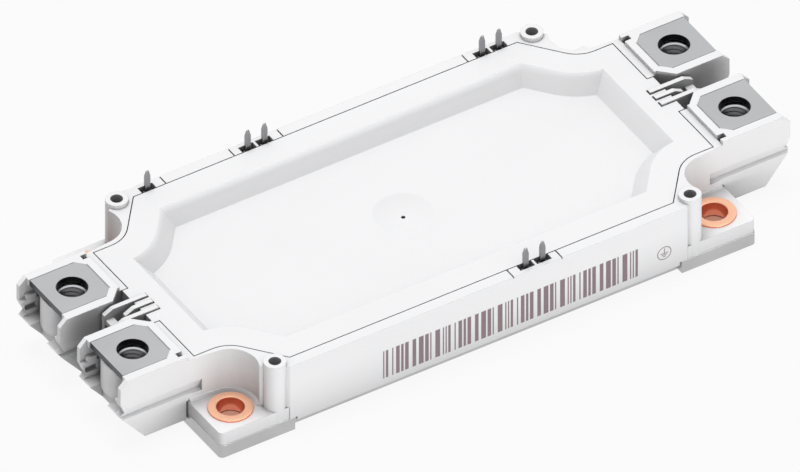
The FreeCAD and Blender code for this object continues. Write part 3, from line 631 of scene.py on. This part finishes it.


# The side tones are painted shade on faces that look sideways, nearly black on the straps and nuts and a
# darker red in the sleeves' bores.
FINISHES = {
    "white_plastic": MouldedPlastic("white_plastic_finish", (0.86, 0.86, 0.87)),
    "plated_base": PlatedMetal(
        "plated_base_finish", (0.66, 0.66, 0.67), gloss=0.34,
        shaded_side_tone=(0.5, 0.5, 0.505), bores=(MOUNT_ALONG, MOUNT_ACROSS, MOUNT_BORE / 2 + MOUNT_RIM),
    ),
    "plated_strap": PlatedMetal(
        "plated_strap_finish", (0.54, 0.545, 0.555), gloss=0.36,
        shaded_side_tone=(0.08, 0.08, 0.085),
    ),
    "plated_pin": PlatedMetal("plated_pin_finish", (0.3, 0.3, 0.31), stretch=(1.0, 1.0, 0.05)),
    "copper_sleeve": PlatedMetal(
        "copper_sleeve_finish", (1.0, 0.57, 0.38), metallic=0.5, gloss=0.5, stretch=(1.0, 1.0, 1.0),
        shaded_side_tone=(0.9, 0.26, 0.14), side_gloss=0.14,
    ),
    "zinc_plated_steel": PlatedMetal(
        "zinc_plated_steel_finish", (0.62, 0.63, 0.65), gloss=0.32,
        # painted shade on the nuts: near-black sides and lower faces, with only the top face left lit
        shaded_side_tone=(0.16, 0.16, 0.17), lit_faces_above=14.72,
    ),
    "bare_copper": PlatedMetal("bare_copper_finish", (0.82, 0.44, 0.29), gloss=0.36),
    "ceramic": Mineral("ceramic_finish", (0.88, 0.88, 0.85), gloss=0.45),
    "solder": Mineral("solder_finish", (0.55, 0.56, 0.58), metallic=1.0, gloss=0.42),
    "silicon": Mineral("silicon_finish", (0.3, 0.31, 0.35), metallic=0.6, gloss=0.25),
    "bond_wire": PlatedMetal("bond_wire_finish", (0.82, 0.82, 0.84), gloss=0.28),
    "gel": ClearGel("gel_finish", (0.93, 0.94, 0.92)),
    "adhesive": Mineral("adhesive_finish", (0.85, 0.85, 0.84), gloss=0.6),
}
MARK_INK = PrintedInk("mark_ink", (0.2, 0.145, 0.16))


@dataclass
class Wardrobe:
    """Makes each finish's material once and hands it out by its slot."""

    made: dict[str, bpy.types.Material] = field(default_factory=dict)

    def cloth(self, slot: str) -> bpy.types.Material:
        """Hands out a slot's material, and makes it the first time.

        Args:
            slot: the record's name for the slot.

        Returns:
            The slot's material.
        """
        if slot not in self.made:
            self.made[slot] = FINISHES[slot].material()
        return self.made[slot]

    def dress_frame(self, frame: dict) -> None:
        """Gives every node of the frame the finish of its slot.
        """
        for part in frame["record"]["subparts"]:
            node = frame["nodes"][part["node"]]
            for slot in node.material_slots:
                slot.material = self.cloth(part["material_slot"])
            log.info("dressed %s as %s", part["node"], part["material_slot"])


@dataclass
class Bench:
    """Edit-mode helpers with which every new piece is made."""

    wardrobe: Wardrobe
    weld: float = 0.002
    flat_angle: float = 0.6
    sharp_angle: float = 35.0
    smooth_angle: float = 28.0

    def drop_all(self) -> None:
        """Deselects every object."""
        bpy.ops.object.select_all(action="DESELECT")

    def take(self, *pieces: bpy.types.Object) -> None:
        """Selects only some objects and makes the first of them active.

        Args:
            pieces: the objects.
        """
        self.drop_all()
        for piece in pieces:
            piece.select_set(True)
        bpy.context.view_layer.objects.active = pieces[0]

    def plate(self, centre: Vector, size: tuple[float, float, float]) -> bpy.types.Object:
        """Adds a thin upright plate: a plane that is extruded to its thickness and stood up.

        Args:
            centre: the plate's middle, in metres.
            size: its length along X, thickness along Y and height along Z, in millimetres.

        Returns:
            The plate.
        """
        length, thickness, height = size
        self.drop_all()
        bpy.ops.mesh.primitive_plane_add(size=MM, location=(0.0, 0.0, -thickness * MM / 2))
        plate = bpy.context.active_object
        bpy.ops.object.mode_set(mode="EDIT")
        bpy.ops.mesh.select_all(action="SELECT")
        bpy.ops.transform.resize(value=(length, height, 1.0))
        bpy.ops.mesh.extrude_region_move(TRANSFORM_OT_translate={"value": (0.0, 0.0, thickness * MM)})
        bpy.ops.mesh.select_all(action="SELECT")
        bpy.ops.mesh.normals_make_consistent(inside=False)
        bpy.ops.object.mode_set(mode="OBJECT")
        plate.data.transform(plate.matrix_world)
        plate.matrix_world = Matrix.Identity(4)
        plate.data.transform(Matrix.Translation(centre) @ Matrix.Rotation(QUARTER_TURN, 4, "X"))
        return plate

    def tube(
        self, centre: Vector, outer: float, inner: float, height: float, sides: int = 72,
    ) -> bpy.types.Object:
        """Adds an upright tube: an open cylinder thickened inwards.

        Args:
            centre: middle of the tube's lower end, in metres.
            outer: outer radius in metres.
            inner: inner radius in metres.
            height: height in metres.
            sides: how many sides the tube has.

        Returns:
            The tube, with its place in its mesh.
        """
        self.drop_all()
        bpy.ops.mesh.primitive_cylinder_add(
            vertices=sides, radius=outer, depth=height, end_fill_type="NOTHING",
            location=centre + Vector((0.0, 0.0, height / 2)),
        )
        tube = bpy.context.active_object
        bpy.ops.object.transform_apply(location=True, rotation=True, scale=True)
        wall = tube.modifiers.new("wall", "SOLIDIFY")
        wall.thickness = outer - inner
        wall.offset = -1.0
        wall.use_even_offset = True
        bpy.ops.object.modifier_apply(modifier="wall")
        return tube

    def merge(self, piece: bpy.types.Object) -> None:
        """Merges a piece's doubled corners and dissolves the edges inside its flat faces.

        Args:
            piece: the piece.
        """
        self.take(piece)
        bpy.ops.object.mode_set(mode="EDIT")
        bpy.ops.mesh.select_all(action="SELECT")
        bpy.ops.mesh.remove_doubles(threshold=self.weld * MM)
        bpy.ops.mesh.dissolve_limited(angle_limit=math.radians(self.flat_angle))
        bpy.ops.object.mode_set(mode="OBJECT")

    def round_edges(
        self, piece: bpy.types.Object, width: float, steps: int = 2, smooth: float | None = None,
    ) -> None:
        """Rounds every sharp edge and smooths the shading.

        Args:
            piece: the piece to round.
            width: width of the rounding in millimetres.
            steps: how many faces it has across.
            smooth: the greatest angle that is shaded smoothly, in degrees, the bench's own if None.
        """
        self.take(piece)
        bevel = piece.modifiers.new("rounding", "BEVEL")
        bevel.width = width * MM
        bevel.segments = steps
        bevel.limit_method = "ANGLE"
        bevel.angle_limit = math.radians(self.sharp_angle)
        bevel.use_clamp_overlap = True
        bpy.ops.object.modifier_apply(modifier="rounding")
        bpy.ops.object.shade_smooth_by_angle(angle=math.radians(smooth or self.smooth_angle))

    def pick_vertices(self, piece: bpy.types.Object, wanted: Callable[[Vector], bool]) -> None:
        """Selects the vertices of a piece whose places pass a test, and no others.

        Args:
            piece: the piece.
            wanted: the test.
        """
        self.take(piece)
        bpy.ops.object.mode_set(mode="EDIT")
        bpy.ops.mesh.select_mode(type="VERT")
        bpy.ops.mesh.select_all(action="DESELECT")
        bpy.ops.object.mode_set(mode="OBJECT")
        for vertex in piece.data.vertices:
            vertex.select = wanted(vertex.co)

    def cut(self, piece: bpy.types.Object, tool: bpy.types.Object) -> None:
        """Cuts a tool's form out of a piece and removes the tool.

        Args:
            piece: the piece.
            tool: the tool.
        """
        self.take(piece)
        hole = piece.modifiers.new("hole", "BOOLEAN")
        hole.operation = "DIFFERENCE"
        hole.solver = "EXACT"
        hole.object = tool
        bpy.ops.object.modifier_apply(modifier="hole")
        bpy.data.objects.remove(tool)

    def copied(self, piece: bpy.types.Object, shift: Vector) -> bpy.types.Object:
        """Copies a piece with a mesh of its own.

        Args:
            piece: the piece to copy.
            shift: how far the copy is moved, in metres.

        Returns:
            The copy.
        """
        copy = piece.copy()
        copy.data = piece.data.copy()
        copy.data.transform(Matrix.Translation(shift))
        bpy.context.collection.objects.link(copy)
        return copy

    def join(self, pieces: list[bpy.types.Object]) -> bpy.types.Object:
        """Joins pieces into one.

        Args:
            pieces: the pieces.

        Returns:
            The first of them, which now holds them all.
        """
        self.take(*pieces)
        bpy.ops.object.join()
        return bpy.context.active_object

    def softened(self, node: bpy.types.Object, width: float, smooth: float) -> bpy.types.Object:
        """Copies a frame node and rounds the copy's edges, with its flat faces kept flat.

        Args:
            node: the node to copy.
            width: width of the rounding in millimetres.
            smooth: the greatest angle that is shaded smoothly, in degrees.

        Returns:
            The rounded copy.
        """
        piece = self.copied(node, Vector())
        self.merge(piece)
        self.round_edges(piece, width, smooth=smooth)
        flattening = piece.modifiers.new("flattening", "WEIGHTED_NORMAL")
        flattening.keep_sharp = True
        flattening.weight = 100
        bpy.ops.object.modifier_apply(modifier="flattening")
        return piece

    def hand_over(
        self, piece: bpy.types.Object, name: str, slot: str, *replaced: str,
        finish: bpy.types.Material | None = None,
    ) -> None:
        """Names, dresses and attaches a finished piece.

        Args:
            piece: the piece.
            name: its name.
            slot: the record's slot that its finish belongs to.
            replaced: the nodes that it stands for.
            finish: a material other than the slot's own.
        """
        piece.name = name
        piece.data.name = name
        piece.data.materials.clear()
        piece.data.materials.append(finish or self.wardrobe.cloth(slot))
        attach(piece, "root")
        if replaced:
            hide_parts(*replaced)
        log.info("made %s with %d faces", name, len(piece.data.polygons))


@dataclass
class MountingSleeves:
    """The four copper sleeves in the screw pads, with rolled lips."""

    bench: Bench
    bore: float = MOUNT_BORE
    lip: float = 0.32
    lip_steps: int = 4

    def build(self) -> None:
        """Makes a tube with rounded lips for each sleeve."""
        for side in Side:
            for end in End:
                node = f"mounting_sleeve_{side.value}_{end.value}"
                low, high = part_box(node)
                foot = (low + high) / 2
                foot.z = low.z
                sleeve = self.bench.tube(foot, (high.x - low.x) / 2, self.bore * MM / 2, high.z - low.z)
                self.bench.round_edges(sleeve, self.lip, self.lip_steps)
                self.bench.hand_over(sleeve, f"rolled_{node}", "copper_sleeve", node)


@dataclass(frozen=True)
class StampedEdge:
    """How one kind of stamped metal is rounded, in millimetres, and shaded, in degrees."""

    width: float
    smooth: float


STAMPED_EDGES = {
    "plated_base": StampedEdge(width=0.05, smooth=5.0),
    "plated_strap": StampedEdge(width=0.12, smooth=15.0),
    "plated_pin": StampedEdge(width=0.1, smooth=15.0),
}


@dataclass
class PlatedParts:
    """Base plate, straps and pins, with the slightly rounded edges that stamping leaves."""

    bench: Bench
    frame: dict
    left_plain: str = "phase_link"

    def build(self) -> None:
        """Makes a softened copy of every plated node but the link inside, which stays as it is."""
        for part in self.frame["record"]["subparts"]:
            name, slot = part["node"], part["material_slot"]
            edge = STAMPED_EDGES.get(slot)
            if edge is None or name == self.left_plain:
                continue
            piece = self.bench.softened(self.frame["nodes"][name], edge.width, edge.smooth)
            self.bench.hand_over(piece, f"stamped_{name}", slot, name)


@dataclass
class ThreadedNuts:
    """The hexagon nuts under the straps, each with a countersunk mouth and a cut thread."""

    bench: Bench
    flats: float = 10.0
    crest: float = 2.5
    root: float = 2.94
    mouth: float = 2.8
    pitch: float = 1.0
    spare_turns: int = 2
    rounding: float = 0.2
    sides: int = 48

    def corner(self) -> float:
        """Returns the hexagon's radius over its corners, in metres."""
        return self.flats / math.sqrt(3.0) * MM

    def thread_line(self) -> bpy.types.Object:
        """Makes the V of one turn of the thread, on its side, as far from the axis as the bore.

        A square that stands on a corner, with its corners 1.0 from its middle, loses the one next to the
        axis, and the V that is left gets the thread's depth and pitch.

        Returns:
            The line, lowered by the spare turns.
        """
        step = self.pitch * MM
        self.bench.drop_all()
        bpy.ops.mesh.primitive_plane_add(
            size=math.sqrt(2.0), rotation=(QUARTER_TURN, QUARTER_TURN / 2, 0.0),
        )
        line = bpy.context.active_object
        bpy.ops.object.transform_apply(location=True, rotation=True, scale=True)
        self.bench.pick_vertices(line, lambda place: place.x < -0.5)
        bpy.ops.object.mode_set(mode="EDIT")
        bpy.ops.mesh.delete(type="VERT")
        bpy.ops.mesh.select_all(action="SELECT")
        depth = (self.root - self.crest) * MM
        bpy.ops.transform.resize(value=(depth, 1.0, step / 2), center_override=(0.0, 0.0, 0.0))
        bpy.ops.transform.translate(value=(self.crest * MM, 0.0, -self.spare_turns * step))
        bpy.ops.object.mode_set(mode="OBJECT")
        return line

    def tap(self, centre: Vector, height: float) -> bpy.types.Object:
        """Makes the closed threaded core that cuts a nut's thread.

        Args:
            centre: middle of the nut's lower face, in metres.
            height: the nut's height in metres.

        Returns:
            The core, half a pitch longer than the nut at both ends.
        """
        step = self.pitch * MM
        core = self.thread_line()
        winding = core.modifiers.new("winding", "SCREW")
        winding.axis = "Z"
        winding.steps = winding.render_steps = self.sides
        winding.screw_offset = step
        winding.iterations = math.ceil(height / step) + 2 * self.spare_turns
        bpy.ops.object.modifier_apply(modifier="winding")
        bpy.ops.object.mode_set(mode="EDIT")
        bpy.ops.mesh.select_all(action="SELECT")
        bpy.ops.mesh.remove_doubles(threshold=self.bench.weld * MM)
        for level, up in ((height + step / 2, 1.0), (-step / 2, -1.0)):
            bpy.ops.mesh.select_all(action="SELECT")
            bpy.ops.mesh.bisect(
                plane_co=(0.0, 0.0, level), plane_no=(0.0, 0.0, up), use_fill=True, clear_outer=True,
            )
        bpy.ops.mesh.select_all(action="SELECT")
        bpy.ops.mesh.normals_make_consistent(inside=False)
        bpy.ops.object.mode_set(mode="OBJECT")
        core.data.transform(Matrix.Translation(centre))
        return core

    def countersink(self, level: Vector, up: float) -> bpy.types.Object:
        """Makes the cone that opens one mouth of the bore.

        Args:
            level: middle of the nut's face, in metres.
            up: 1.0 for the upper mouth and -1.0 for the lower one.

        Returns:
            The cone, which reaches as far out of the face as into it.
        """
        depth = (self.mouth - self.crest) * MM
        reach = 2 * depth
        wide, narrow = self.mouth * MM + (reach - depth), self.crest * MM
        self.bench.drop_all()
        bpy.ops.mesh.primitive_cone_add(
            vertices=self.sides, depth=reach,
            location=level + Vector((0.0, 0.0, up * (reach / 2 - depth))),
            radius1=narrow if up > 0 else wide, radius2=wide if up > 0 else narrow,
        )
        return bpy.context.active_object

    def nut(self, centre: Vector, height: float) -> bpy.types.Object:
        """Makes one nut: a hexagon whose bore is cut by a threaded core and two countersinks.

        Args:
            centre: middle of the nut's lower face, in metres.
            height: the nut's height in metres.

        Returns:
            The nut.
        """
        self.bench.drop_all()
        bpy.ops.mesh.primitive_cylinder_add(
            vertices=6, radius=self.corner(), depth=height,
            location=centre + Vector((0.0, 0.0, height / 2)),
        )
        body = bpy.context.active_object
        bpy.ops.object.transform_apply(location=True, rotation=True, scale=True)
        self.bench.round_edges(body, self.rounding)
        self.bench.cut(body, self.tap(centre, height))
        self.bench.cut(body, self.countersink(centre + Vector((0.0, 0.0, height)), 1.0))
        self.bench.cut(body, self.countersink(centre, -1.0))
        bpy.ops.object.shade_smooth_by_angle(angle=math.radians(self.bench.smooth_angle))
        return body

    def build(self) -> None:
        """Makes one nut, copies it to the four boxes and joins them."""
        low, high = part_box("terminal_nuts")
        place = Vector((high.x - self.flats * MM / 2, high.y - self.corner(), low.z))
        first = self.nut(place, high.z - low.z)
        nuts = [first]
        for along, across in ((-1, 1), (1, -1), (-1, -1)):
            shift = Vector(((along - 1) * place.x, (across - 1) * place.y, 0.0))
            nuts.append(self.bench.copied(first, shift))
        self.bench.hand_over(self.bench.join(nuts), "threaded_nuts", "zinc_plated_steel", "terminal_nuts")


@dataclass
class WallMarks:
    """The marks on the front wall: a generic row of bars and the earth sign.

    The sign's stem and strokes are given as shares of its radius.
    """

    bench: Bench
    ink: bpy.types.Material
    film: float = 0.03
    bars_start: float = -24.0
    bars_end: float = 34.8
    bars_low: float = 3.8
    bars_high: float = 10.6
    narrow: float = 0.27
    least_gap: float = 1.3
    sign_x: float = 40.0
    sign_z: float = 6.9
    sign_radius: float = 1.6
    line: float = 0.17
    stem_height: float = 0.8
    stem_rise: float = 0.36
    strokes: int = 3
    stroke_drop: float = 0.04
    stroke_step: float = 0.24
    stroke_length: float = 1.1
    stroke_shrink: float = 0.36

    def face(self) -> float:
        """Returns the front wall's place across the module, in millimetres."""
        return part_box("housing")[0].y / MM

    def stroke(self, x: float, z: float, width: float, height: float) -> bpy.types.Object:
        """Lays one printed stroke on the wall, given in millimetres."""
        return self.bench.plate(mm(x, self.face(), z), (width, self.film, height))

    def bars(self) -> None:
        """Prints bars whose widths and gaps follow a plain counting rule."""
        strokes = []
        place, count = self.bars_start, 0
        middle = (self.bars_low + self.bars_high) / 2
        while place < self.bars_end:
            width = self.narrow * (1 + (count * count + count // 3) % 4)
            width = min(width, self.bars_end - place)
            strokes.append(self.stroke(place + width / 2, middle, width, self.bars_high - self.bars_low))
            place += width + self.narrow * (self.least_gap + (count * 5 + count // 4) % 3)
            count += 1
        self.bench.hand_over(self.bench.join(strokes), "bar_marks", "white_plastic", finish=self.ink)

    def ring(self) -> bpy.types.Object:
        """Makes the sign's ring, stood up on the wall.

        Returns:
            The ring.
        """
        inner = (self.sign_radius - self.line) * MM
        ring = self.bench.tube(Vector(), self.sign_radius * MM, inner, self.film * MM)
        centre = mm(self.sign_x, self.face() + self.film / 2, self.sign_z)
        ring.data.transform(Matrix.Translation(centre) @ Matrix.Rotation(QUARTER_TURN, 4, "X"))
        return ring

    def earth_sign(self) -> None:
        """Prints the earth sign: a ring, a stem and shrinking strokes."""
        radius = self.sign_radius
        stem_z = self.sign_z + radius * self.stem_rise
        parts = [self.ring(), self.stroke(self.sign_x, stem_z, self.line, radius * self.stem_height)]
        for step in range(self.strokes):
            level = self.sign_z - radius * (self.stroke_drop + self.stroke_step * step)
            length = radius * (self.stroke_length - self.stroke_shrink * step)
            parts.append(self.stroke(self.sign_x, level, length, self.line))
        self.bench.hand_over(self.bench.join(parts), "earth_sign", "white_plastic", finish=self.ink)

    def build(self) -> None:
        """Prints all marks."""
        self.bars()
        self.earth_sign()


@dataclass
class Studio:
    """Pale floor, soft light and the camera at the photograph's angle, with lengths in millimetres."""

    target: tuple[float, float, float] = (-2.452, -2.717, 10.0)
    sight: tuple[float, float, float] = (0.4065, 0.649, -0.643)
    distance: float = 700.0
    view_width: float = 154.32
    view_depth: float = 5000.0
    sky_strength: float = 0.33
    key_power: float = 2.35
    key_from: tuple[float, float, float] = (0.0, 0.14, 1.0)
    key_place: tuple[float, float, float] = (0.0, 0.0, 1000.0)
    key_spread: float = 35.0
    strip_power: float = 5.7
    strip_place: tuple[float, float, float] = (0.0, -900.0, 24.0)
    strip_size: tuple[float, float] = (1500.0, 28.0)
    floor_size: float = 1800.0
    floor_drop: float = 0.05
    floor_tone: float = 0.5
    floor_tint: float = 0.98
    floor_grain: float = 60.0
    floor_gloss: float = 0.9
    floor_glow: float = 0.92

    def camera(self) -> None:
        """Sets up the orthographic camera."""
        data = bpy.data.cameras.new("camera")
        data.type = "ORTHO"
        data.ortho_scale = self.view_width * MM
        data.clip_end = self.view_depth * MM
        camera = bpy.data.objects.new("camera", data)
        bpy.context.collection.objects.link(camera)
        sight = Vector(self.sight).normalized()
        camera.location = mm(*self.target) - sight * self.distance * MM
        camera.rotation_mode = "QUATERNION"
        camera.rotation_quaternion = sight.to_track_quat("-Z", "Y")
        bpy.context.scene.camera = camera

    def sky(self) -> None:
        """Lights the scene evenly and shows white behind the object."""
        world = bpy.data.worlds.new("sky")
        world.use_nodes = True
        nodes, links = world.node_tree.nodes, world.node_tree.links
        background = nodes["Background"]
        background.inputs["Color"].default_value = (*WHITE, 1.0)
        strength = nodes.new("ShaderNodeMapRange")
        strength.inputs["To Min"].default_value = self.sky_strength
        strength.inputs["To Max"].default_value = 1.0
        links.new(seen_directly(world.node_tree), strength.inputs["Value"])
        links.new(strength.outputs["Result"], background.inputs["Strength"])
        bpy.context.scene.world = world

    def hang(self, data: bpy.types.Light, source: Vector, place: Vector) -> bpy.types.Object:
        """Hangs a lamp.

        Args:
            data: the lamp's light.
            source: the direction that it shines from.
            place: its place, in metres.

        Returns:
            The lamp.
        """
        lamp = bpy.data.objects.new(data.name, data)
        lamp.location = place
        lamp.rotation_mode = "QUATERNION"
        lamp.rotation_quaternion = source.to_track_quat("Z", "Y")
        bpy.context.collection.objects.link(lamp)
        return lamp

    def key(self) -> None:
        """Adds the broad soft light overhead, which shiny faces don't mirror."""
        data = bpy.data.lights.new("key", "SUN")
        data.energy = self.key_power
        data.angle = math.radians(self.key_spread)
        lamp = self.hang(data, Vector(self.key_from), mm(*self.key_place))
        lamp.visible_glossy = False

    def strip(self) -> None:
        """Adds the long low strip light along the front."""
        data = bpy.data.lights.new("strip", "AREA")
        data.energy = self.strip_power
        data.shape = "RECTANGLE"
        data.size, data.size_y = (side * MM for side in self.strip_size)
        place = mm(*self.strip_place)
        self.hang(data, Vector((place.x, place.y, 0.0)), place)

    def floor_material(self) -> bpy.types.Material:
        """Makes the floor's material.

        It is white to the camera and to metal except where the object shades it, and clear from below.

        Returns:
            The material.
        """
        tree = MaterialTree("floor_finish")
        tree.set(Roughness=self.floor_gloss)
        tone = (self.floor_tone,) * 3
        tree.join(tree.graded(tree.noise(self.floor_grain), tone, self.floor_tint), "Base Color")
        glow = tree.nodes.new("ShaderNodeEmission")
        glow_share = tree.spread(seen_directly(tree.material.node_tree), 0.0, self.floor_glow)
        lit = tree.blended(glow_share, tree.shader.outputs[0], glow.outputs[0])
        geometry = tree.nodes.new("ShaderNodeNewGeometry")
        clear = tree.nodes.new("ShaderNodeBsdfTransparent")
        surface = tree.blended(geometry.outputs["Backfacing"], lit, clear.outputs[0])
        tree.links.new(surface, tree.nodes["Material Output"].inputs["Surface"])
        return tree.material

    def floor(self) -> None:
        """Lays the pale floor just under the object."""
        bpy.ops.object.select_all(action="DESELECT")
        bpy.ops.mesh.primitive_plane_add(size=self.floor_size * MM, location=mm(0.0, 0.0, -self.floor_drop))
        floor = bpy.context.active_object
        floor.name = floor.data.name = "floor"
        floor.data.materials.append(self.floor_material())

    def build(self) -> None:
        """Sets up camera, sky, light and floor."""
        bpy.context.scene.view_settings.view_transform = "Standard"
        self.camera()
        self.sky()
        self.key()
        self.strip()
        self.floor()


def main() -> None:
    """Builds the scene in order and reports each piece."""
    logging.basicConfig(level=logging.INFO)
    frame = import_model()
    bpy.ops.object.select_all(action="DESELECT")
    wardrobe = Wardrobe()
    wardrobe.dress_frame(frame)
    bench = Bench(wardrobe)
    PlatedParts(bench, frame).build()
    MountingSleeves(bench).build()
    ThreadedNuts(bench).build()
    WallMarks(bench, MARK_INK.material()).build()
    Studio().build()


if __name__ == "__main__":
    main()
